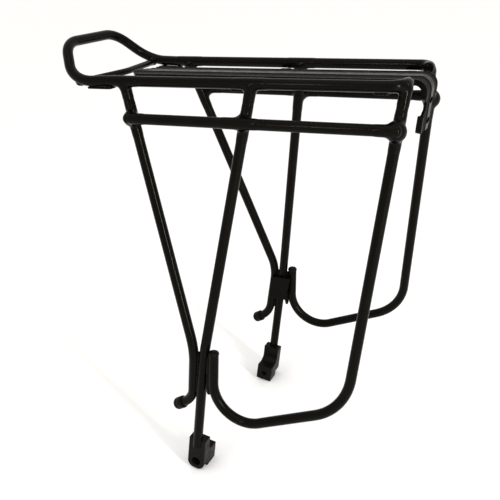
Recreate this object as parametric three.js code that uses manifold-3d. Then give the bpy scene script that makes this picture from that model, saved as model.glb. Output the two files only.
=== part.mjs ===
// Rear bicycle rack: a welded frame of bent aluminium tube with an extruded deck plank, pannier
// rails and two foot blocks. Millimetres, +Z up, +X rearward, +Y to the left of the bicycle.
import * as THREE from "three";
import { mergeVertices } from "three/addons/utils/BufferGeometryUtils.js";
import Module from "manifold-3d";

const wasm = await Module();
wasm.setup();

// ---- driving dimensions: X from the foot bolt axis, Z from the lowest point of the feet ------
const TUBE_R = 5;
const TUBE_WALL = 1.5;
const GAP = 0.3; // clearance left at every joint
const TUBE_SIDES = 14;
const BORE_SIDES = 8;
const BEND_STEP = THREE.MathUtils.degToRad(15);

const DECK_Z = 406.3; // centre line of the deck rails
const DECK_FRONT_X = -70;
const DECK_FRONT_HALF = 61.7; // the deck rails close in a little towards the rear
const DECK_REAR_HALF = 56;
const DECK_REAR_X = 208.8;
const DECK_BEND_R = 14;
const DECK_MOUTH_HALF = 38; // where the open rear ends of the deck rails stop

const HOOP_FOOT_X = -109.1;
const HOOP_FOOT_HALF = 67.7;
const HOOP_TOP_X = -133;
const HOOP_TOP_HALF = 39.8;
const HOOP_TOP_Z = 438.1;
const HOOP_FLARE_R = 50;
const HOOP_FOOT_R = 31;
const HOOP_TOP_R = 31;

const BOW_TUBE_R = 3.3; // the thin cross tube bows rearward between the feet of the hoop
const BOW_END_X = -103.5;
const BOW_END_HALF = 64.2;
const BOW_MIDDLE_X = -94;
const BOW_Z = 404.8;
const BOW_R = 45;

const RAIL_FRONT = { at: [-44, 76.2, 374.8] }; // centre line of the left pannier rail
const RAIL_REAR = { at: [207.5, 72.8, 374.2] };
const RAIL_CAP_LENGTH = 5;

const FOOT_TILT = Math.atan(0.184); // the feet lean with the lower end of the middle legs
const FOOT_WIDTH = 19;
const FOOT_OUTER_Y = 101;
const FOOT_WALL_Y = 90.5;
const FOOT_INNER_Y = 75;
const FOOT_BELOW_BOLT = 9.2;
const BOLT_Z = FOOT_BELOW_BOLT * Math.cos(FOOT_TILT) + (FOOT_WIDTH / 2) * Math.sin(FOOT_TILT);
const FOOT_LEDGE = 11;
const FOOT_TOP = 30.5;
const FOOT_CORNER_R = 8;
const LEDGE_FILLET_R = 7;
const BOLT_HOLE_R = 3.3;
const COUNTERBORE_R = 5.2;
const COUNTERBORE_DEPTH = 6;

const PLANK_HALF = 22;
const PLANK_TOP = 405.6; // top of the ribbed bands
const PLANK_SKIN = 2.4;
const PLANK_LIP = 4.3;
const LIP_WIDTH = 2;
const RIDGE_HALF = 5;
const RIDGE_RISE = 1.1;
const RIM_RISE = 0.9;
const RIB_RISE = 0.45;
const RIBS_PER_BAND = 6;
const NOSE_X = -84;
const SHOULDER_X = -66;
const PLANK_CORNER_X = 222;
const PLANK_BEND_R = 10;
const BRACKET_LEAN = 0.14; // the light bracket hangs parallel to the rear legs
const BRACKET_BOTTOM_Z = 359.3;
const BRACKET_NECK_HALF = 13;
const BRACKET_NECK_TOP_Z = 387.3;
const BRACKET_NECK_BOTTOM_Z = 377.3;
const BRACKET_FOOT_HALF = 22;
const SLOT_Z = [385.3, 367.3];
const SLOT_HALF = 5;
const SLOT_R = 2.75;

const STRAP_X = [60, 190];
const STRAP_WIDTH = 12;
const STRAP_THICKNESS = 2;

const TAB_X = -80.5;
const TAB_LENGTH = 27;
const TAB_WIDTH = 11;
const TAB_THICKNESS = 1.8;

const GUSSET_Z = 128.3;
const GUSSET_HEIGHT = 30;
const GUSSET_THICKNESS = 2.5;

const HOOK_CAP_R = 6.4;
const HOOK_CAP_LENGTH = 13;
const HOOK_CAP_BORE = 6;
const PLUG_DOME = 2.6;
const PLUG_SPIGOT = 9;

// Centre lines of the left side frame, top end first; the right side mirrors them.
const FRONT_LEG = [
  { at: [-55.3, 60, DECK_Z] },
  { at: [14.2, 100.8, 151.3], bend: 60 },
  { at: [3.2, 96.8, 89.3], bend: 26 },
  { at: [-13.4, 97.2, 80.3] },
];
const MIDDLE_LEG = [
  { at: [75.5, 58.8, DECK_Z] },
  { at: [24.9, 99, 151.3], bend: 90 },
  { at: [3.5, 99.4, 31.5] },
];
const REAR_LEG = [
  { at: [209.2, 46.5, 402.8] },
  { at: [206.4, 61.5, 372.3], bend: 45 },
  { at: [170.9, 103.8, 118.8], bend: 55 },
  { at: [28.3, 105, 62], bend: 35 },
  { at: [36, 101, 150.8] },
];

// ---- materials ------------------------------------------------------------------------------
const paint = new THREE.MeshStandardMaterial({ color: 0x17171a, roughness: 0.3, metalness: 0.1 });
const deckPaint = new THREE.MeshStandardMaterial({ color: 0x1c1c1e, roughness: 0.38, metalness: 0.1 });
const castPaint = new THREE.MeshStandardMaterial({ color: 0x1d1c1b, roughness: 0.45, metalness: 0.1 });
const plastic = new THREE.MeshStandardMaterial({ color: 0x151515, roughness: 0.5, metalness: 0 });

const group = new THREE.Group();

function addMesh(name, solid, material) {
  const made = solid.getMesh();
  const geometry = new THREE.BufferGeometry();
  geometry.setAttribute("position", new THREE.BufferAttribute(made.vertProperties, 3));
  geometry.setIndex(new THREE.BufferAttribute(made.triVerts, 1));
  geometry.computeVertexNormals();
  const mesh = new THREE.Mesh(geometry, material);
  mesh.name = name;
  group.add(mesh);
  return mesh;
}

// ---- solids ---------------------------------------------------------------------------------
function solidOf(geometry) {
  const bare = geometry.clone();
  bare.deleteAttribute("normal");
  bare.deleteAttribute("uv");
  const merged = mergeVertices(bare, 1e-4);
  return new wasm.Manifold(
    new wasm.Mesh({
      numProp: 3,
      vertProperties: merged.attributes.position.array,
      triVerts: new Uint32Array(merged.index.array),
    }),
  );
}

function box(width, depth, height, x, y, z) {
  return solidOf(new THREE.BoxGeometry(width, depth, height).translate(x, y, z));
}

// A prism of an (x, z) outline between two y values.
function prismAlongY(shape, yFrom, yTo, curveSegments = 8) {
  const options = { depth: yTo - yFrom, bevelEnabled: false, curveSegments };
  const geometry = new THREE.ExtrudeGeometry(shape, options);
  return solidOf(geometry.rotateX(Math.PI / 2).translate(0, yTo, 0));
}

// A rod between two y values.
function rodAlongY(radius, x, z, yFrom, yTo, sides = 24) {
  const rod = new THREE.CylinderGeometry(radius, radius, yTo - yFrom, sides);
  return solidOf(rod.translate(x, (yFrom + yTo) / 2, z));
}

// A centre line of straight runs joined by round bends. Its rings stand at the ends of each
// straight run and at even steps round each bend.
class BentLine extends THREE.Curve {
  constructor(points) {
    super();
    this.rings = [];
    const spots = points.map((p) => new THREE.Vector3(...p.at));
    spots.forEach((spot, i) => {
      if (i === 0 || i === spots.length - 1) {
        const other = spots[i === 0 ? 1 : i - 1];
        const tangent = spot.clone().sub(other).normalize();
        this.rings.push({ point: spot, tangent: i === 0 ? tangent.negate() : tangent });
        return;
      }
      this.addBend(spots[i - 1], spot, spots[i + 1], points[i].bend);
    });
  }

  addBend(before, corner, after, radius) {
    const into = corner.clone().sub(before).normalize();
    const out = after.clone().sub(corner).normalize();
    const turn = into.angleTo(out);
    const axis = into.clone().cross(out).normalize();
    const start = corner.clone().addScaledVector(into, -radius * Math.tan(turn / 2));
    const centre = start.clone().addScaledVector(axis.clone().cross(into), radius);
    const steps = Math.max(2, Math.ceil(turn / BEND_STEP));
    for (let k = 0; k <= steps; k += 1) {
      const angle = (turn * k) / steps;
      const point = start.clone().sub(centre).applyAxisAngle(axis, angle).add(centre);
      this.rings.push({ point, tangent: into.clone().applyAxisAngle(axis, angle) });
    }
  }

  ringAt(u) {
    return this.rings[Math.round(u * (this.rings.length - 1))];
  }

  getPointAt(u, target = new THREE.Vector3()) {
    return target.copy(this.ringAt(u).point);
  }

  getTangentAt(u, target = new THREE.Vector3()) {
    return target.copy(this.ringAt(u).tangent);
  }
}

function roundShape(radius, sides) {
  const turns = Array.from({ length: sides }, (_, i) => (2 * Math.PI * (i + 0.5)) / sides);
  return turns.map((a) => new THREE.Vector2(radius * Math.cos(a), radius * Math.sin(a)));
}

function sweep(shape, line) {
  const steps = line.rings.length - 1;
  return solidOf(new THREE.ExtrudeGeometry(shape, { steps, extrudePath: line, bevelEnabled: false }));
}

function bar(points, radius) {
  return sweep(new THREE.Shape(roundShape(radius, TUBE_SIDES)), new BentLine(points));
}

function tube(points, radius = TUBE_R) {
  const shape = new THREE.Shape(roundShape(radius, TUBE_SIDES));
  shape.holes.push(new THREE.Path(roundShape(radius - TUBE_WALL, BORE_SIDES)));
  return sweep(shape, new BentLine(points));
}

// The same centre line carried on past its last point.
function carriedOn(points, extra) {
  const [before, last] = points.slice(-2).map((p) => new THREE.Vector3(...p.at));
  const reach = last.clone().sub(before).setLength(extra);
  return [...points.slice(0, -1), { at: last.add(reach).toArray() }];
}

function mirrored(points) {
  return points.map((p) => ({ ...p, at: [p.at[0], -p.at[1], p.at[2]] }));
}

// A turned solid from an outline of (radius, height) points, standing on a point of a centre
// line's end and facing along it.
function turnedAt(outline, points, sides) {
  const [before, last] = points.slice(-2).map((p) => new THREE.Vector3(...p.at));
  const facing = last.clone().sub(before).normalize();
  const profile = outline.map(([r, h]) => new THREE.Vector2(r, h));
  const turned = new THREE.LatheGeometry(profile, sides);
  const spin = new THREE.Quaternion().setFromUnitVectors(new THREE.Vector3(0, 1, 0), facing);
  return solidOf(turned.applyQuaternion(spin).translate(...last.toArray()));
}

// Points of a dome from its rim to its pole, as (radius, height) pairs above a base height.
function dome(radius, rise, base, steps = 5) {
  const turns = Array.from({ length: steps }, (_, i) => (Math.PI / 2) * ((i + 1) / steps));
  return turns.map((a) => [i0(radius * Math.cos(a)), base + rise * Math.sin(a)]);
}

function i0(value) {
  return Math.abs(value) < 1e-9 ? 0 : value;
}

// ---- deck hoop and cross tube ---------------------------------------------------------------
const HOOP_HALF = [
  { at: [DECK_REAR_X, DECK_MOUTH_HALF, DECK_Z] },
  { at: [DECK_REAR_X, DECK_REAR_HALF, DECK_Z], bend: DECK_BEND_R },
  { at: [DECK_FRONT_X, DECK_FRONT_HALF, DECK_Z], bend: HOOP_FLARE_R },
  { at: [HOOP_FOOT_X, HOOP_FOOT_HALF, DECK_Z], bend: HOOP_FOOT_R },
  { at: [HOOP_TOP_X, HOOP_TOP_HALF, HOOP_TOP_Z], bend: HOOP_TOP_R },
];
const HOOP = [...HOOP_HALF, ...mirrored(HOOP_HALF).reverse()];
const hoopCutter = bar(HOOP, TUBE_R + GAP);
addMesh("deck_hoop_tube", tube(HOOP), paint);

const BOW = [
  { at: [BOW_END_X, BOW_END_HALF, BOW_Z] },
  { at: [BOW_MIDDLE_X, 0, BOW_Z], bend: BOW_R },
  { at: [BOW_END_X, -BOW_END_HALF, BOW_Z] },
];
addMesh("front_cross_tube", tube(BOW, BOW_TUBE_R).subtract(hoopCutter), paint);

// ---- deck plank with light bracket ----------------------------------------------------------
// Half of the plank's section, from the middle outward: [distance from the middle, rise].
function plankTopLine() {
  const bandFrom = RIDGE_HALF + 1.5;
  const bandTo = PLANK_HALF - LIP_WIDTH - 1;
  const pitch = (bandTo - bandFrom) / RIBS_PER_BAND;
  const line = [
    [RIDGE_HALF, RIDGE_RISE],
    [bandFrom, 0],
  ];
  for (let i = 0; i < RIBS_PER_BAND; i += 1) {
    line.push([bandFrom + pitch * (i + 0.5), RIB_RISE], [bandFrom + pitch * (i + 1), 0]);
  }
  line.push([PLANK_HALF - LIP_WIDTH, RIM_RISE], [PLANK_HALF, RIM_RISE * 0.6]);
  return line;
}

// ExtrudeGeometry lays the shape's x along -Z and its y along +Y on a path that starts along +X.
function plankShape() {
  const top = plankTopLine();
  const under = [
    [PLANK_HALF, -PLANK_LIP],
    [PLANK_HALF - LIP_WIDTH, -PLANK_LIP],
    [PLANK_HALF - LIP_WIDTH, -PLANK_SKIN],
  ];
  const half = [...top, ...under];
  const otherHalf = half.map(([y, rise]) => [-y, rise]).reverse();
  return new THREE.Shape([...half, ...otherHalf].map(([y, rise]) => new THREE.Vector2(-rise, y)));
}

const bracketDrop = PLANK_TOP - BRACKET_BOTTOM_Z;
const PLANK_LINE = [
  { at: [NOSE_X, 0, PLANK_TOP] },
  { at: [PLANK_CORNER_X, 0, PLANK_TOP], bend: PLANK_BEND_R },
  { at: [PLANK_CORNER_X - BRACKET_LEAN * bracketDrop, 0, BRACKET_BOTTOM_Z] },
];

// The nose of the plank, seen from above, as the part to cut away.
function noseCutter() {
  const reach = PLANK_HALF + 5;
  const slope = (SHOULDER_X - NOSE_X) / PLANK_HALF;
  const corner = new THREE.Shape();
  corner.moveTo(NOSE_X - 5, -reach);
  corner.lineTo(NOSE_X + slope * reach, -reach);
  corner.lineTo(NOSE_X + slope * 5, -5);
  corner.quadraticCurveTo(NOSE_X, 0, NOSE_X + slope * 5, 5);
  corner.lineTo(NOSE_X + slope * reach, reach);
  corner.lineTo(NOSE_X - 5, reach);
  const geometry = new THREE.ExtrudeGeometry(corner, { depth: 20, bevelEnabled: false, curveSegments: 6 });
  return solidOf(geometry.translate(0, 0, PLANK_TOP - 12));
}

// Cuts both sides of the bracket down to the neck, between its full width and its foot.
function neckCutter() {
  const shape = new THREE.Shape();
  shape.moveTo(BRACKET_NECK_HALF, BRACKET_NECK_BOTTOM_Z + 2);
  shape.lineTo(BRACKET_NECK_HALF, BRACKET_NECK_TOP_Z - 4);
  shape.lineTo(BRACKET_NECK_HALF + 4, BRACKET_NECK_TOP_Z - 1);
  shape.lineTo(BRACKET_FOOT_HALF + 5, BRACKET_NECK_TOP_Z + 1);
  shape.lineTo(BRACKET_FOOT_HALF + 5, BRACKET_NECK_BOTTOM_Z - 5);
  shape.lineTo(BRACKET_FOOT_HALF - 4, BRACKET_NECK_BOTTOM_Z - 3);
  shape.lineTo(BRACKET_NECK_HALF + 5, BRACKET_NECK_BOTTOM_Z);
  const geometry = new THREE.ExtrudeGeometry(shape, { depth: 60, bevelEnabled: false });
  const cutter = solidOf(geometry.rotateX(Math.PI / 2).rotateZ(Math.PI / 2).translate(190, 0, 0));
  return cutter.add(cutter.mirror([0, 1, 0]));
}

function slotCutter(z) {
  const reach = 40;
  const slot = new THREE.Shape();
  slot.absarc(SLOT_HALF - SLOT_R, 0, SLOT_R, -Math.PI / 2, Math.PI / 2, false);
  slot.absarc(SLOT_R - SLOT_HALF, 0, SLOT_R, Math.PI / 2, Math.PI * 1.5, false);
  const geometry = new THREE.ExtrudeGeometry(slot, { depth: reach, bevelEnabled: false, curveSegments: 8 });
  return solidOf(geometry.rotateX(Math.PI / 2).rotateZ(Math.PI / 2).translate(195, 0, z));
}

function deckPlank() {
  let plank = sweep(plankShape(), new BentLine(PLANK_LINE));
  plank = plank.subtract(noseCutter()).subtract(neckCutter());
  SLOT_Z.forEach((z) => {
    plank = plank.subtract(slotCutter(z));
  });
  return plank;
}

addMesh("deck_plank", deckPlank(), deckPaint);

// Half the distance between the centre lines of the deck rails.
function deckHalfAt(x) {
  return THREE.MathUtils.mapLinear(x, DECK_FRONT_X, DECK_REAR_X, DECK_FRONT_HALF, DECK_REAR_HALF);
}

const strapZ = DECK_Z - TUBE_R - GAP - STRAP_THICKNESS / 2;
STRAP_X.forEach((x, i) => {
  const strap = box(STRAP_WIDTH, 2 * deckHalfAt(x), STRAP_THICKNESS, x, 0, strapZ);
  addMesh(["middle_cross_strap", "rear_cross_strap"][i], strap, paint);
});

// ---- side frames ----------------------------------------------------------------------------
function footBlock() {
  const half = FOOT_WIDTH / 2;
  const plate = new THREE.Shape();
  plate.moveTo(half, FOOT_TOP);
  plate.lineTo(-half, FOOT_TOP);
  plate.lineTo(-half, -FOOT_BELOW_BOLT + FOOT_CORNER_R);
  plate.absarc(-half + FOOT_CORNER_R, -FOOT_BELOW_BOLT + FOOT_CORNER_R, FOOT_CORNER_R, Math.PI, Math.PI * 1.5);
  plate.absarc(half - FOOT_CORNER_R, -FOOT_BELOW_BOLT + FOOT_CORNER_R, FOOT_CORNER_R, Math.PI * 1.5, Math.PI * 2);
  const side = new THREE.Shape();
  side.moveTo(FOOT_INNER_Y, -FOOT_BELOW_BOLT);
  side.lineTo(FOOT_WALL_Y + 1, -FOOT_BELOW_BOLT);
  side.lineTo(FOOT_WALL_Y + 1, FOOT_LEDGE + LEDGE_FILLET_R);
  side.lineTo(FOOT_WALL_Y, FOOT_LEDGE + LEDGE_FILLET_R);
  side.absarc(FOOT_WALL_Y - LEDGE_FILLET_R, FOOT_LEDGE + LEDGE_FILLET_R, LEDGE_FILLET_R, 0, -Math.PI / 2, true);
  side.lineTo(FOOT_INNER_Y, FOOT_LEDGE);
  const options = { depth: FOOT_WIDTH, bevelEnabled: false, curveSegments: 6 };
  const block = new THREE.ExtrudeGeometry(side, options).translate(0, 0, -FOOT_WIDTH / 2);
  return prismAlongY(plate, FOOT_WALL_Y, FOOT_OUTER_Y, 6)
    .add(solidOf(block.rotateX(Math.PI / 2).rotateZ(Math.PI / 2)))
    .subtract(rodAlongY(BOLT_HOLE_R, 0, 0, FOOT_INNER_Y - 1, FOOT_OUTER_Y + 1, 24))
    .subtract(rodAlongY(COUNTERBORE_R, 0, 0, FOOT_OUTER_Y - COUNTERBORE_DEPTH, FOOT_OUTER_Y + 1, 24))
    .rotate([0, THREE.MathUtils.radToDeg(FOOT_TILT), 0])
    .translate([0, 0, BOLT_Z]);
}

const FRONT_TO_REAR = [RAIL_FRONT, RAIL_REAR];
const REAR_TO_FRONT = [RAIL_REAR, RAIL_FRONT];

const capOutline = [[0, GAP], [TUBE_R + 0.4, GAP], ...dome(TUBE_R + 0.4, RAIL_CAP_LENGTH, GAP + 0.6)];
const plugOutline = [
  [0, -PLUG_SPIGOT],
  [TUBE_R - TUBE_WALL - 0.6, -PLUG_SPIGOT],
  [TUBE_R - TUBE_WALL - 0.6, GAP],
  [TUBE_R + 0.3, GAP],
  ...dome(TUBE_R + 0.3, PLUG_DOME, GAP + 1.2),
];
const hookCapOutline = [
  [0, GAP],
  [TUBE_R + GAP, GAP],
  [TUBE_R + GAP, -HOOK_CAP_BORE],
  [HOOK_CAP_R, -HOOK_CAP_BORE],
  ...dome(HOOK_CAP_R, HOOK_CAP_LENGTH - HOOK_CAP_BORE, 1.2, 6),
];

// A flat plate behind the three legs where they run side by side.
function gussetPlate() {
  const plateY = 93.2;
  const plate = new THREE.Shape();
  plate.moveTo(6, -GUSSET_HEIGHT / 2);
  plate.lineTo(29, -GUSSET_HEIGHT / 2);
  plate.lineTo(36, GUSSET_HEIGHT / 2);
  plate.lineTo(11, GUSSET_HEIGHT / 2);
  return prismAlongY(plate, plateY - GUSSET_THICKNESS, plateY).translate([0, 0, GUSSET_Z]);
}

const tabZ = DECK_Z - TUBE_R - GAP - TAB_THICKNESS / 2;
const leftPieces = {
  pannier_rail: { solid: tube(FRONT_TO_REAR), material: paint },
  pannier_rail_cap_rear: { solid: turnedAt(capOutline, FRONT_TO_REAR, TUBE_SIDES), material: plastic },
  pannier_rail_cap_front: { solid: turnedAt(capOutline, REAR_TO_FRONT, TUBE_SIDES), material: plastic },
  front_leg: { solid: tube(FRONT_LEG).subtract(hoopCutter), material: paint },
  middle_leg: { solid: tube(MIDDLE_LEG).subtract(hoopCutter), material: paint },
  rear_leg: { solid: tube(REAR_LEG).subtract(hoopCutter), material: paint },
  gusset: { solid: gussetPlate(), material: paint },
  foot: { solid: footBlock().subtract(bar(carriedOn(MIDDLE_LEG, GAP), TUBE_R + GAP)), material: castPaint },
  hook_cap: { solid: turnedAt(hookCapOutline, FRONT_LEG, 16), material: plastic },
  rear_leg_plug: { solid: turnedAt(plugOutline, REAR_LEG, TUBE_SIDES), material: plastic },
  stay_tab: {
    solid: box(TAB_LENGTH, TAB_WIDTH, TAB_THICKNESS, TAB_X, deckHalfAt(TAB_X), tabZ),
    material: paint,
  },
};

Object.entries(leftPieces).forEach(([name, { solid, material }]) => {
  addMesh(`${name}_left`, solid, material);
  addMesh(`${name}_right`, solid.mirror([0, 1, 0]), material);
});

group.position.x = -(HOOP_TOP_X - TUBE_R + PLANK_CORNER_X) / 2;

export default group;
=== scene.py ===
import math

import bmesh
import bpy
from mathutils import Matrix, Vector, noise


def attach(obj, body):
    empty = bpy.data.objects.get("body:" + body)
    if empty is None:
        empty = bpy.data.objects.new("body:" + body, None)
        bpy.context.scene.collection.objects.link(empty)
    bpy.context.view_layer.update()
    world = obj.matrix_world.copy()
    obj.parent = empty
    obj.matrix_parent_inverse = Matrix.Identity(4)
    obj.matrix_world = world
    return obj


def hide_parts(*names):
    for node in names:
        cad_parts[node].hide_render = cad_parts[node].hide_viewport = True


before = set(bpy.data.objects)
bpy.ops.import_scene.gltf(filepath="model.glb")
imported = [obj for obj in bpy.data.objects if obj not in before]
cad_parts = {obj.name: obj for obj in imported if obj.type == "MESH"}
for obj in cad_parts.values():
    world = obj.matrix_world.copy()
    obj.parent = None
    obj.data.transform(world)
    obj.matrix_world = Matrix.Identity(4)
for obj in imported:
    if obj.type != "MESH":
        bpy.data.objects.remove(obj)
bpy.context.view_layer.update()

# Dimensions are in millimetres: x rearward from the foot bolts, y to the left, z up from the feet.
MM = 1000.0  # millimetres in a metre
BOLT_X = -42.0
TUBE_R = 5.0
TUBE_WALL = 1.5
MOUTH_DEPTH = 14  # how far the open bores of the deck rails are cut
BOW_TUBE_R = 3.3

DECK_Z = 406.3
DECK_FRONT_X = -70
DECK_FRONT_HALF = 61.7
DECK_REAR_X = 208.8
DECK_REAR_HALF = 56
DECK_MOUTH_HALF = 38
BOW_END_X = -103.5
BOW_END_HALF = 64.2
BOW_MIDDLE_X = -94
BOW_Z = 404.8

RAIL_CAP_R = 5.3
HOOK_CAP_R = 6.4
PLUG_R = 5.28

GUSSET_Z = 128.3
GUSSET_INNER_Y = 90.7
GUSSET_THICKNESS = 2.5
TAB_Y = 61.98
TAB_UNDER_Z = 399.2
TAB_THICKNESS = 1.8
TAB_WELD_X = (-92.5, -73.5)
TAB_WELD_Y = 65.0
TAB_WELD_Z = 401.2
TAB_WELD_LENGTH = 5
STRAP_UNDER_Z = 399.0
STRAP_THICKNESS = 2.0
STRAP_HALF_WIDTH = 6
STRAP_END_GAP = 0.6

PLANK_HALF = 22.0
PLANK_TOP = 405.6
PLANK_SKIN = 2.4
PLANK_LIP = 4.3
LIP_WIDTH = 2.0
NOSE_X = -84
SHOULDER_X = -66
NOSE_HALF = 5.5
CORNER_X = 222.0
CORNER_R = 10
RIDGE_HALF = 5.0
RIDGE_RISE = 1.1
BAND_FROM = 6.5
BAND_TO = 19.2
RIB_PITCH = 12.7 / 6
RIB_RISE = 0.45
RIM_FROM = 20.0
RIM_RISE = 0.9
LEAN = 0.14  # the light bracket hangs parallel to the rear legs
BRACKET_BOTTOM = 359.3
BRACKET_CORNER = 3.0
NECK_HALF = 13.0
NECK_TOP = 385.5
NECK_BOTTOM = 378.5
FLARE_ABOVE = 4.0  # how far over and under the neck the bracket widens to its full width
FLARE_BELOW = 5.0
PLAIN_X = (-60, 210)  # between these the plank keeps one section
ROW_STEP = 0.3
SLOT_Z = (385.3, 367.3)
SLOT_HALF = 2.25  # from the middle of a slot to the centre of its round end
SLOT_R = 2.75
CUT_X = (204, 232)  # how far the slot cutters reach, from before the bracket to behind it

# Welds and facets are in metres, like the meshes.
WELD_R = 0.0026
TAB_WELD_R = 0.0012
DECK_WELD_R = 0.0066
RAIL_WELD_R = {"front": 0.0080, "middle": 0.0080, "rear": 0.0094}
WELD_SKIN = 0.0006  # how far a fillet stands over its tubes
FINE_STEP = 0.0009
FUSE_VOXEL = 0.0008
COARSE_ROWS = 0.02
CLOSE_ROWS = 0.0004


def at(x, y, z):
    return Vector((x + BOLT_X, y, z)) / MM


def round_turns(sides):
    """Equal angles round a full turn."""
    return [2 * math.pi * k / sides for k in range(sides)]


def mirrored(points):
    return [(x, -y, z, bend) for x, y, z, bend in points]


# Centre lines of the left-hand tubes, as x, y, z and the radius of the bend there.
HOOP_HALF = [
    (DECK_REAR_X, DECK_MOUTH_HALF, DECK_Z, 0),
    (DECK_REAR_X, DECK_REAR_HALF, DECK_Z, 14),
    (DECK_FRONT_X, DECK_FRONT_HALF, DECK_Z, 50),
    (-109.1, 67.7, DECK_Z, 31),
    (-133, 39.8, 438.1, 31),
]
HOOP = HOOP_HALF + mirrored(HOOP_HALF)[::-1]
BOW = [
    (BOW_END_X, BOW_END_HALF, BOW_Z, 0),
    (BOW_MIDDLE_X, 0, BOW_Z, 45),
    (BOW_END_X, -BOW_END_HALF, BOW_Z, 0),
]
FRONT_LEG = [
    (-55.3, 60, 404, 0),
    (14.2, 100.8, 151.3, 60),
    (3.2, 96.8, 89.3, 26),
    (-13.4, 97.2, 80.3, 0),
]
MIDDLE_LEG = [(75.5, 58.8, 404, 0), (24.9, 99, 151.3, 90), (3.5, 99.4, 31.5, 0)]
REAR_LEG = [
    (209.2, 46.5, 402.8, 0),
    (206.4, 61.5, 372.3, 45),
    (170.9, 103.8, 118.8, 55),
    (28.3, 105, 62, 35),
    (36, 101, 150.8, 0),
]
LEGS = (("front", FRONT_LEG), ("middle", MIDDLE_LEG), ("rear", REAR_LEG))
RAIL = [(-44, 76.2, 374.8, 0), (207.5, 72.8, 374.2, 0)]
PLANK_PATH = [
    (NOSE_X, 0, PLANK_TOP, 0),
    (CORNER_X, 0, PLANK_TOP, CORNER_R),
    (CORNER_X - LEAN * (PLANK_TOP - BRACKET_BOTTOM), 0, BRACKET_BOTTOM, 0),
]


# ---- materials --------------------------------------------------------------------------------
def paint(name, dark, light, rough, peel, peel_size):
    """Black finish: cloudy colour, uneven gloss and a fine orange-peel skin."""
    mat = bpy.data.materials.new(name)
    mat.use_nodes = True
    tree = mat.node_tree
    shader = tree.nodes["Principled BSDF"]
    shader.inputs["Specular IOR Level"].default_value = 0.06
    shader.inputs["Specular Tint"].default_value = (1.0, 0.95, 0.85, 1)
    coords = tree.nodes.new("ShaderNodeTexCoord")

    def cloud(scale, detail):
        node = tree.nodes.new("ShaderNodeTexNoise")
        node.inputs["Scale"].default_value = scale
        node.inputs["Detail"].default_value = detail
        tree.links.new(coords.outputs["Object"], node.inputs["Vector"])
        return node.outputs["Fac"]

    def ramp(source, low, high, left, right):
        node = tree.nodes.new("ShaderNodeValToRGB")
        node.color_ramp.elements[0].position = low
        node.color_ramp.elements[0].color = left
        node.color_ramp.elements[1].position = high
        node.color_ramp.elements[1].color = right
        tree.links.new(source, node.inputs["Fac"])
        return node.outputs["Color"]

    colour = ramp(cloud(45, 5), 0.3, 0.75, (*dark, 1), (*light, 1))
    tree.links.new(colour, shader.inputs["Base Color"])
    low, high = [(value, value, value, 1) for value in rough]
    gloss_map = ramp(cloud(130, 6), 0.35, 0.7, low, high)
    tree.links.new(gloss_map, shader.inputs["Roughness"])
    skin = tree.nodes.new("ShaderNodeBump")
    skin.inputs["Strength"].default_value = peel
    skin.inputs["Distance"].default_value = 0.0001
    tree.links.new(cloud(peel_size, 3), skin.inputs["Height"])
    tree.links.new(skin.outputs["Normal"], shader.inputs["Normal"])
    return mat


FINISHES = {
    "frame_paint": paint(
        "frame_paint", (0.0014, 0.0012, 0.0009), (0.0028, 0.0024, 0.0018), (0.13, 0.24), 0.22, 650
    ),
    "deck_paint": paint(
        "deck_paint", (0.002, 0.0017, 0.0013), (0.0042, 0.0036, 0.0028), (0.24, 0.38), 0.35, 1100
    ),
    "foot_paint": paint(
        "foot_paint", (0.0026, 0.0022, 0.0018), (0.0058, 0.005, 0.004), (0.3, 0.5), 0.8, 700
    ),
    "black_plastic": paint(
        "black_plastic", (0.0024, 0.0021, 0.0018), (0.005, 0.0044, 0.0037), (0.32, 0.5), 0.5, 1500
    ),
}


# ---- mesh helpers -----------------------------------------------------------------------------
def smooth(mesh):
    for face in mesh.polygons:
        face.use_smooth = True


def add_piece(name, verts, faces, slot, nodes, smooth_angle):
    """A mesh object that rides on the rack and stands for the named CAD nodes."""
    mesh = bpy.data.meshes.new(name)
    mesh.from_pydata([tuple(v) for v in verts], [], faces)
    work = bmesh.new()
    work.from_mesh(mesh)
    bmesh.ops.remove_doubles(work, verts=work.verts, dist=1e-6)
    bmesh.ops.recalc_face_normals(work, faces=work.faces)
    work.to_mesh(mesh)
    work.free()
    smooth(mesh)
    mesh.set_sharp_from_angle(angle=math.radians(smooth_angle))
    piece = bpy.data.objects.new(name, mesh)
    bpy.context.scene.collection.objects.link(piece)
    mesh.materials.append(FINISHES[slot])
    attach(piece, "root")
    if nodes:
        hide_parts(*nodes)
    return piece


def settle(piece):
    """Turns the shape that the piece's modifiers make into its own mesh."""
    bpy.context.view_layer.update()
    graph = bpy.context.evaluated_depsgraph_get()
    made = bpy.data.meshes.new_from_object(piece.evaluated_get(graph))
    piece.modifiers.clear()
    piece.data = made
    smooth(made)


def bent_line(points, step=math.radians(4)):
    """Points and directions along straight runs joined by round bends."""
    spots = [at(*p[:3]) for p in points]
    line = []
    for i, spot in enumerate(spots):
        if i == 0 or i == len(spots) - 1:
            other = spots[1] if i == 0 else spots[i - 1]
            way = (other - spot) if i == 0 else (spot - other)
            line.append((spot, way.normalized()))
            continue
        into = (spot - spots[i - 1]).normalized()
        out = (spots[i + 1] - spot).normalized()
        turn = into.angle(out)
        radius = points[i][3] / MM
        axis = into.cross(out).normalized()
        start = spot - into * radius * math.tan(turn / 2)
        centre = start + axis.cross(into) * radius
        steps = max(3, math.ceil(turn / step))
        for k in range(steps + 1):
            spin = Matrix.Rotation(turn * k / steps, 3, axis)
            line.append((centre + spin @ (start - centre), spin @ into))
    return line


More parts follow.
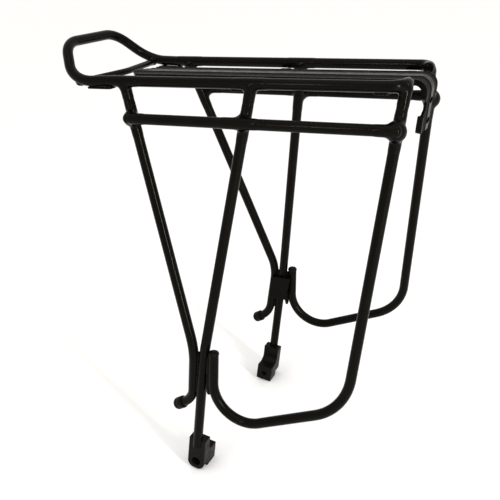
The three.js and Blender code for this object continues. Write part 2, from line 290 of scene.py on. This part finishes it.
def rings_along(line, radius, sides):
    """A ring of points round each point of the line, without twist."""
    way = line[0][1]
    side = way.orthogonal().normalized()
    rings = []
    for spot, new_way in line:
        side = (way.rotation_difference(new_way) @ side).normalized()
        way = new_way
        up = way.cross(side)
        turns = round_turns(sides)
        rings.append([spot + (side * math.cos(a) + up * math.sin(a)) * radius for a in turns])
    return rings


def skin_rings(rings):
    """The vertices and faces of a skin over the rings, closed at both ends."""
    sides = len(rings[0])
    verts = [v for ring in rings for v in ring]
    faces = []
    for i in range(len(rings) - 1):
        a, b = i * sides, (i + 1) * sides
        for k in range(sides):
            n = (k + 1) % sides
            faces.append((a + k, a + n, b + n, b + k))
    faces.append(tuple(range(sides))[::-1])
    faces.append(tuple(range(len(verts) - sides, len(verts))))
    return verts, faces


def turned(name, spot, way, profile, slot, nodes=(), sides=48):
    """A solid of revolution facing along way, from an outline of (radius, height) points."""
    side = way.orthogonal().normalized()
    up = way.cross(side)
    rings = []
    for radius, height in profile:
        centre = spot + way * (height / MM)
        turns = round_turns(sides)
        rings.append([centre + (side * math.cos(a) + up * math.sin(a)) * (radius / MM) for a in turns])
    verts, faces = skin_rings(rings)
    add_piece(name, verts, faces, slot, nodes, 50)


def tube(name, points, nodes, radius=TUBE_R, open_ends=False):
    """A round tube along a bent line, with soft rims and cut bores where its ends are open."""
    line = bent_line(points)
    rings = rings_along(line, radius / MM, 48)
    if open_ends:
        bore = radius - TUBE_WALL
        rim_outline = (
            (radius - 0.15, 0.3),
            (radius - 0.5, 0.45),
            (radius - 1.1, 0.45),
            (bore, 0.1),
            (bore, -MOUTH_DEPTH),
        )
        for place, sign in ((0, -1), (-1, 1)):
            spot, way = line[place]
            rim = [
                [spot + (v - spot) * (r / radius) + way * sign * h / MM for v in rings[place]]
                for r, h in rim_outline
            ]
            rings = rim[::-1] + rings if sign < 0 else rings + rim
    verts, faces = skin_rings(rings)
    add_piece(name, verts, faces, "frame_paint", nodes, 50)


def stub(line, radius, reach, spot):
    """Rings of a length of tube round a spot, thinning out at both ends."""
    near = [(p, way) for p, way in line if (p - spot).length < reach]
    rings = rings_along(near, radius, 32)
    for ring, (p, _) in zip(rings, near):
        fade = min(1.0, (reach - (p - spot).length) / (0.3 * reach))
        for k, v in enumerate(ring):
            ring[k] = p + (v - p) * (0.9 + 0.1 * math.sqrt(max(0.0, fade)))
    return rings


def fine_line(points):
    """The bent line with extra points along its straight runs."""
    line = bent_line(points)
    out = []
    for (p, way), (q, _) in zip(line, line[1:]):
        parts = max(1, math.ceil((q - p).length / FINE_STEP))
        out += [(p.lerp(q, k / parts), way) for k in range(parts)]
    return out + [line[-1]]


def globe(spot, radius):
    """The rings of a ball round a spot."""
    rings = []
    for i in range(13):
        lat = -math.pi / 2 + math.pi * i / 12
        flat = math.cos(lat)
        around = [Vector((flat * math.cos(t), flat * math.sin(t), math.sin(lat))) for t in round_turns(24)]
        rings.append([spot + v * radius for v in around])
    return rings


def fillet(name, spot, tubes, swell, reach=0.02):
    """A weld blended smoothly over the tubes that meet at a spot."""
    verts, faces = [], []
    shapes = [stub(line, TUBE_R / MM + WELD_SKIN, far * reach, spot) for line, far in tubes]
    for rings in [*shapes, globe(spot, swell)]:
        part_verts, part_faces = skin_rings(rings)
        faces += [tuple(i + len(verts) for i in face) for face in part_faces]
        verts += part_verts
    piece = add_piece(name, verts, faces, "frame_paint", (), 60)
    remesh = piece.modifiers.new("fuse", "REMESH")
    remesh.mode = "VOXEL"
    remesh.voxel_size = FUSE_VOXEL
    melt = piece.modifiers.new("melt", "SMOOTH")
    melt.factor = 0.5
    melt.iterations = 60
    settle(piece)


def weld_line(name, start, end, radius):
    """A straight run of weld with a rippled back."""
    count = max(6, int((end - start).length / 0.0012))
    way = (end - start).normalized()
    line = [(start.lerp(end, k / count), way) for k in range(count + 1)]
    rings = rings_along(line, radius, 14)
    for i, ring in enumerate(rings):
        spot = line[i][0]
        taper = math.sqrt(max(0.02, 1 - (2 * i / count - 1) ** 6))
        uneven = 1.0 + 0.15 * noise.noise(spot * 420)
        swell = taper * (1 + 0.07 * math.sin(i * 2.1)) * uneven
        rings[i] = [spot + (v - spot) * swell for v in ring]
    verts, faces = skin_rings(rings)
    add_piece(name, verts, faces, "frame_paint", (), 60)


def on_line(line, z):
    """The point of a line at a height."""
    for (p, _), (q, _) in zip(line, line[1:]):
        if (p.z - z) * (q.z - z) <= 0 and p.z != q.z:
            return p.lerp(q, (z - p.z) / (q.z - p.z))
    return line[0][0]


def weld_between(name, one, other, low, high):
    """A run of weld between two tubes that stand side by side, from one height to another."""
    start = (on_line(one, low) + on_line(other, low)) / 2
    end = (on_line(one, high) + on_line(other, high)) / 2
    weld_line(name, start, end, WELD_R)


def bevelled(piece, width, angle):
    """Softens the edges that are sharper than an angle in degrees."""
    bevel = piece.modifiers.new("edges", "BEVEL")
    bevel.width = width / MM
    bevel.segments = 3
    bevel.limit_method = "ANGLE"
    bevel.angle_limit = math.radians(angle)


def prism(outline, place, near, far):
    """The outline carried from one depth to another: place(u, v, w) maps it to the frame."""
    count = len(outline)
    verts = [place(u, v, w) for w in (near, far) for u, v in outline]
    faces = [tuple(range(count))[::-1], tuple(range(count, 2 * count))]
    for k in range(count):
        n = (k + 1) % count
        faces.append((k, n, count + n, count + k))
    return verts, faces


def plate(name, outline, thickness, place, node):
    """A flat plate with softened edges."""
    verts, faces = prism(outline, place, 0.0, thickness)
    bevelled(add_piece(name, verts, faces, "frame_paint", [node], 30), min(0.5, thickness * 0.3), 50)


def rounded(corners, radius, steps=6):
    """The outline of a polygon with rounded corners."""
    out = []
    count = len(corners)
    for i, corner in enumerate(corners):
        here = Vector(corner)
        before = (Vector(corners[i - 1]) - here).normalized()
        after = (Vector(corners[(i + 1) % count]) - here).normalized()
        reach = radius / math.tan(before.angle(after) / 2)
        start, end = here + before * reach, here + after * reach
        for k in range(steps + 1):
            t = k / steps
            p = start * (1 - t) ** 2 + here * 2 * t * (1 - t) + end * t * t
            out.append((p.x, p.y))
    return out


# ---- frame tubes ------------------------------------------------------------------------------
tube("deck_hoop", HOOP, ["deck_hoop_tube"], open_ends=True)
tube("cross_tube", BOW, ["front_cross_tube"], BOW_TUBE_R)


def dome(radius, length, rise):
    """The domed end of a cap, as (radius, height) points."""
    turns = [math.pi / 2 * k / 10 for k in range(11)]
    return [(max(0.02, radius * math.cos(a)), length - rise + rise * math.sin(a)) for a in turns]


def last_run(points):
    """The end of a path and its direction there."""
    before, end = [at(*p[:3]) for p in points[-2:]]
    return end, (end - before).normalized()


def ends(side, flip):
    """The domed caps of the pannier rail, the hook's sleeve and the plug of the rear loop."""
    rail = flip(RAIL)
    lip = [(4.6, -0.4), (5.05, -0.1), (5.25, 0.4), (RAIL_CAP_R, 0.9)]
    for place, points in (("rear", rail), ("front", rail[::-1])):
        nodes = [f"pannier_rail_cap_{place}_{side}"]
        outline = lip + dome(RAIL_CAP_R, 5.4, 4.3)
        turned(f"rail_end_{place}_{side}", *last_run(points), outline, "frame_paint", nodes)
    sleeve = [(5.1, -6.2), (6.2, -6.2), (6.42, -5.8), (HOOK_CAP_R, -0.5)]
    sleeve += [(6.15, -0.2), (6.15, 0.3), (HOOK_CAP_R, 0.6), *dome(HOOK_CAP_R, 6.2, 5.2)]
    spot, way = last_run(flip(FRONT_LEG))
    turned(f"hook_cap_cover_{side}", spot, way, sleeve, "black_plastic", [f"hook_cap_{side}"])
    plug = [(3.4, -1.0), (4.9, 0.1), (PLUG_R, 0.3), (5.34, 0.7), (5.3, 1.2), *dome(PLUG_R, 4.0, 2.6)]
    spot, way = last_run(flip(REAR_LEG))
    turned(f"loop_plug_{side}", spot, way, plug, "black_plastic", [f"rear_leg_plug_{side}"])


def welds(side, s, flip):
    hoop_line = fine_line(flip(HOOP_HALF))
    rail_line = fine_line(flip(RAIL))
    # The leg tops under the deck rail, and the legs across the pannier rail.
    for name, points in LEGS:
        leg_line = fine_line(flip(points))
        leg_top = leg_line[0][0]
        on_hoop = min(hoop_line, key=lambda item: (item[0] - leg_top).length)[0]
        crook = on_hoop.lerp(leg_top, 0.5) - Vector((0, 0, 0.002))
        fillet(f"weld_deck_{name}_{side}", crook, [(hoop_line, 1.0), (leg_line, 0.9)], DECK_WELD_R)
        pairs = [((p - q).length, p, q) for p, _ in leg_line[:120] for q, _ in rail_line]
        _, on_leg, on_rail = min(pairs, key=lambda pair: pair[0])
        crossing = (on_leg + on_rail) / 2
        both = [(rail_line, 1.0), (leg_line, 1.0)]
        fillet(f"weld_rail_{name}_{side}", crossing, both, RAIL_WELD_R[name], 0.022)

    # The cross tube's ends in the crook of the hoop.
    end = at(BOW_END_X, s * BOW_END_HALF, BOW_Z)
    out = (end - at(BOW_MIDDLE_X, 0, BOW_Z)).normalized()
    lug = [(1.0, -9.5), (3.35, -9.2), (3.7, -7.0), (4.4, -5.2), (5.0, -3.6), (5.2, -1.0)]
    lug += [(4.4, 1.6), (1.5, 2.6)]
    turned(f"weld_cross_{side}", end + Vector((0, 0, 0.0012)), out, lug, "frame_paint", sides=32)

    # The front leg and the end of the rear loop, each side by side with the middle leg.
    front = bent_line(flip(FRONT_LEG))
    middle = bent_line(flip(MIDDLE_LEG))
    loop_end = bent_line(flip(REAR_LEG))[-14:]
    weld_between(f"weld_legs_low_{side}", front, middle, 0.098, 0.126)
    weld_between(f"weld_legs_high_{side}", front, middle, 0.122, 0.150)
    weld_between(f"weld_loop_low_{side}", loop_end, middle, 0.102, 0.128)
    weld_between(f"weld_loop_high_{side}", loop_end, middle, 0.124, 0.149)


def plates(side, s):
    """The plate behind the three tubes, and the stay tab with its two short welds."""
    def gusset_place(u, v, w):
        return at(u, s * (GUSSET_INNER_Y + w), GUSSET_Z + v)

    def tab_place(u, v, w):
        return at(u, s * (TAB_Y + v), TAB_UNDER_Z + w)

    gusset = rounded([(6, -15), (29, -15), (36, 15), (11, 15)], 2.2)
    plate(f"gusset_plate_{side}", gusset, GUSSET_THICKNESS, gusset_place, f"gusset_{side}")
    tab = rounded([(-94, -5.5), (-67, -5.5), (-67, 5.5), (-94, 5.5)], 3.2)
    plate(f"stay_plate_{side}", tab, TAB_THICKNESS, tab_place, f"stay_tab_{side}")
    for k, x in enumerate(TAB_WELD_X):
        start = at(x, s * TAB_WELD_Y, TAB_WELD_Z)
        run = Vector((TAB_WELD_LENGTH / MM, 0, 0))
        weld_line(f"weld_stay_{k}_{side}", start, start + run, TAB_WELD_R)


def side_frame(side, s):
    flip = list if s > 0 else mirrored
    for name, points in LEGS:
        tube(f"{name}_leg_tube_{side}", flip(points), [f"{name}_leg_{side}"])
    tube(f"pannier_tube_{side}", flip(RAIL), [f"pannier_rail_{side}"])
    ends(side, flip)
    welds(side, s, flip)
    plates(side, s)


side_frame("left", 1)
side_frame("right", -1)

for node, strap_x in (("middle_cross_strap", 60), ("rear_cross_strap", 190)):
    along = (strap_x - DECK_FRONT_X) / (DECK_REAR_X - DECK_FRONT_X)
    half = DECK_FRONT_HALF + along * (DECK_REAR_HALF - DECK_FRONT_HALF) - STRAP_END_GAP
    wide = STRAP_HALF_WIDTH
    outline = rounded([(-wide, -half), (wide, -half), (wide, half), (-wide, half)], 3.0)

    def strap_place(u, v, w):
        return at(strap_x + u, v, STRAP_UNDER_Z + w)

    plate(f"{node}_plate", outline, STRAP_THICKNESS, strap_place, node)


# ---- deck plank with light bracket -------------------------------------------------------------
def rise(y):
    """Height of the plank's top over its bands: a smooth ridge, fine ribs and a rim."""
    y = abs(y)
    if y <= RIDGE_HALF:
        return RIDGE_RISE
    if y <= BAND_FROM:
        return RIDGE_RISE * (0.5 + 0.5 * math.cos(math.pi * (y - RIDGE_HALF) / (BAND_FROM - RIDGE_HALF)))
    if y < BAND_TO:
        return RIB_RISE * max(0.0, math.sin(math.pi * (y - BAND_FROM) / RIB_PITCH)) ** 2
    if y < RIM_FROM:
        return RIM_RISE * (y - BAND_TO) / (RIM_FROM - BAND_TO)
    return RIM_RISE - 0.36 * max(0.0, (y - 20.6) / 1.4) ** 2


def nose_half(x):
    """Half width of the plank near its front end: a round tip, then a straight taper."""
    run = max(0.0, x - NOSE_X)
    tip = NOSE_HALF * math.sqrt(min(1.0, run / 3.2))
    taper = max(0.0, run - 1.0) * PLANK_HALF / (SHOULDER_X - NOSE_X)
    return min(PLANK_HALF, tip + taper)


def bracket_half(z):
    """Half width of the light bracket at a height: full, notched to a neck, then full again."""
    notch = PLANK_HALF - NECK_HALF
    if z > NECK_TOP + FLARE_ABOVE:
        return PLANK_HALF
    if z > NECK_TOP:
        return NECK_HALF + notch * ((z - NECK_TOP) / FLARE_ABOVE) ** 0.6
    if z > NECK_BOTTOM:
        return NECK_HALF
    if z > NECK_BOTTOM - FLARE_BELOW:
        return NECK_HALF + notch * ((NECK_BOTTOM - z) / FLARE_BELOW) ** 0.8
    return PLANK_HALF - 2.5 * max(0.0, (BRACKET_BOTTOM + BRACKET_CORNER - z) / BRACKET_CORNER) ** 2


def plank_stations():
    """Points and directions along the plank, close together wherever its width changes."""
    line = bent_line(PLANK_PATH)
    front, rear = [at(x, 0, 0).x for x in PLAIN_X]
    stations = []
    for (p, way), (q, _) in zip(line, line[1:]):
        spots = [p.lerp(q, k / 400) for k in range(400)] if (q - p).length > 0.02 else [p]
        for spot in spots:
            plain = front < spot.x < rear and way.z > -0.5
            if not stations or (spot - stations[-1][0]).length > (COARSE_ROWS if plain else CLOSE_ROWS):
                stations.append((spot, way))
    return stations + [line[-1]]


def plank():
    columns = int(2 * PLANK_HALF / ROW_STEP) + 1
    ys = [round(ROW_STEP * k - PLANK_HALF, 3) for k in range(columns)] + [PLANK_HALF]
    rings = []
    for spot, way in plank_stations():
        x, z = spot.x * MM - BOLT_X, spot.z * MM
        half = max(0.6, min(nose_half(x), bracket_half(z)))
        outward = Vector((0, 1, 0)).cross(way).normalized() * -1
        if (outward.x if abs(way.z) >= 0.5 else outward.z) < 0:
            outward = -outward
        top, under = [], []
        for y in ys:
            across = max(-half, min(half, y))
            depth = PLANK_LIP if abs(across) > PLANK_HALF - LIP_WIDTH else PLANK_SKIN
            middle = spot + Vector((0, across / MM, 0))
            top.append(middle + outward * rise(across) / MM)
            under.append(middle - outward * depth / MM)
        rings.append(top + under[::-1])
    verts, faces = skin_rings(rings)
    return add_piece("plank", verts, faces, "deck_paint", ["deck_plank"], 32)


def slot_outline():
    points = []
    for k in range(40):
        a = 2 * math.pi * (k + 0.5) / 40
        end = math.copysign(SLOT_HALF, math.cos(a))
        points.append((end + SLOT_R * math.cos(a), SLOT_R * math.sin(a)))
    return points


def cut_slot(deck, z):
    def place(u, v, w):
        return at(w, u, z + v)

    verts, faces = prism(slot_outline(), place, *CUT_X)
    mesh = bpy.data.meshes.new("slot_cutter")
    mesh.from_pydata([tuple(v) for v in verts], [], faces)
    work = bmesh.new()
    work.from_mesh(mesh)
    bmesh.ops.recalc_face_normals(work, faces=work.faces)
    work.to_mesh(mesh)
    work.free()
    cutter = bpy.data.objects.new("slot_cutter", mesh)
    bpy.context.scene.collection.objects.link(cutter)
    cut = deck.modifiers.new("slot", "BOOLEAN")
    cut.operation = "DIFFERENCE"
    cut.solver = "EXACT"
    cut.object = cutter
    settle(deck)
    bpy.data.objects.remove(cutter)


deck_plank = plank()
for slot_z in SLOT_Z:
    cut_slot(deck_plank, slot_z)
deck_plank.data.set_sharp_from_angle(angle=math.radians(32))

# ---- feet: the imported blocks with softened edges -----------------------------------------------
for side in ("left", "right"):
    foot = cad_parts[f"foot_{side}"]
    foot.data.materials.clear()
    foot.data.materials.append(FINISHES["foot_paint"])
    join = foot.modifiers.new("join", "WELD")
    join.merge_threshold = 1e-6
    bevelled(foot, 0.7, 38)

# ---- floor, light and camera --------------------------------------------------------------------
FLOOR_HALF = 60
FLOOR_Z = -0.0005
floor_mesh = bpy.data.meshes.new("floor")
corners = [(x * FLOOR_HALF, y * FLOOR_HALF, FLOOR_Z) for x, y in ((-1, -1), (1, -1), (1, 1), (-1, 1))]
floor_mesh.from_pydata(corners, [], [(0, 1, 2, 3)])
floor = bpy.data.objects.new("floor", floor_mesh)
bpy.context.scene.collection.objects.link(floor)
pale = bpy.data.materials.new("pale_floor")
pale.use_nodes = True
shader = pale.node_tree.nodes["Principled BSDF"]
shader.inputs["Roughness"].default_value = 0.9
shader.inputs["Specular IOR Level"].default_value = 0.1
grain = pale.node_tree.nodes.new("ShaderNodeTexNoise")
grain.inputs["Scale"].default_value = 3
tint = pale.node_tree.nodes.new("ShaderNodeValToRGB")
tint.color_ramp.elements[0].color = (0.93, 0.93, 0.93, 1)
tint.color_ramp.elements[1].color = (0.96, 0.96, 0.96, 1)
pale.node_tree.links.new(grain.outputs["Fac"], tint.inputs["Fac"])
pale.node_tree.links.new(tint.outputs["Color"], shader.inputs["Base Color"])
floor_mesh.materials.append(pale)

world = bpy.data.worlds.new("studio")
world.use_nodes = True
surroundings = world.node_tree.nodes["Background"]
surroundings.inputs["Color"].default_value = (1.0, 0.98, 0.95, 1)
surroundings.inputs["Strength"].default_value = 0.9
bpy.context.scene.world = world
bpy.context.scene.view_settings.view_transform = "Standard"


def lamp(name, kind, place, target):
    light = bpy.data.lights.new(name, kind)
    holder = bpy.data.objects.new(name, light)
    bpy.context.scene.collection.objects.link(holder)
    holder.location = place
    aim = Vector(target) - Vector(place)
    holder.rotation_euler = aim.to_track_quat("-Z", "Y").to_euler()
    return light


def strip(name, place, width, height, power):
    """A narrow upright softbox, which draws a thin highlight along the tubes."""
    light = lamp(name, "AREA", place, (0, 0, 0.25))
    light.shape = "RECTANGLE"
    light.size, light.size_y = width, height
    light.energy = power


overhead = lamp("overhead", "SUN", (0.4, -0.8, 2.6), (0, 0, 0))
overhead.energy = 0.6
overhead.angle = math.radians(60)
strip("side", (1.5, -0.9, 0.7), 0.07, 0.9, 22)
strip("front", (-0.5, -1.7, 1.0), 0.05, 0.6, 3)

CAMERA_PLACE = (0.30101, -0.60161, 0.50949)
AZIMUTH, PITCH, ROLL = 0.4131, 0.3887, -0.0511  # radians
level = Vector((math.cos(AZIMUTH), math.sin(AZIMUTH), 0))
flat_ahead = Vector((-math.sin(AZIMUTH), math.cos(AZIMUTH), 0))
ahead = flat_ahead * math.cos(PITCH) - Vector((0, 0, math.sin(PITCH)))
above = level.cross(ahead)
right = level * math.cos(ROLL) + above * math.sin(ROLL)
upward = above * math.cos(ROLL) - level * math.sin(ROLL)
lens = bpy.data.cameras.new("camera")
lens.sensor_width = 36
lens.lens = 49.76
lens.shift_x = -0.080
lens.shift_y = -0.0274
lens.clip_start = 0.01
lens.clip_end = 50
camera = bpy.data.objects.new("camera", lens)
bpy.context.scene.collection.objects.link(camera)
turn = Matrix((right, upward, -ahead)).transposed().to_4x4()
camera.matrix_world = Matrix.Translation(Vector(CAMERA_PLACE)) @ turn
bpy.context.scene.camera = camera
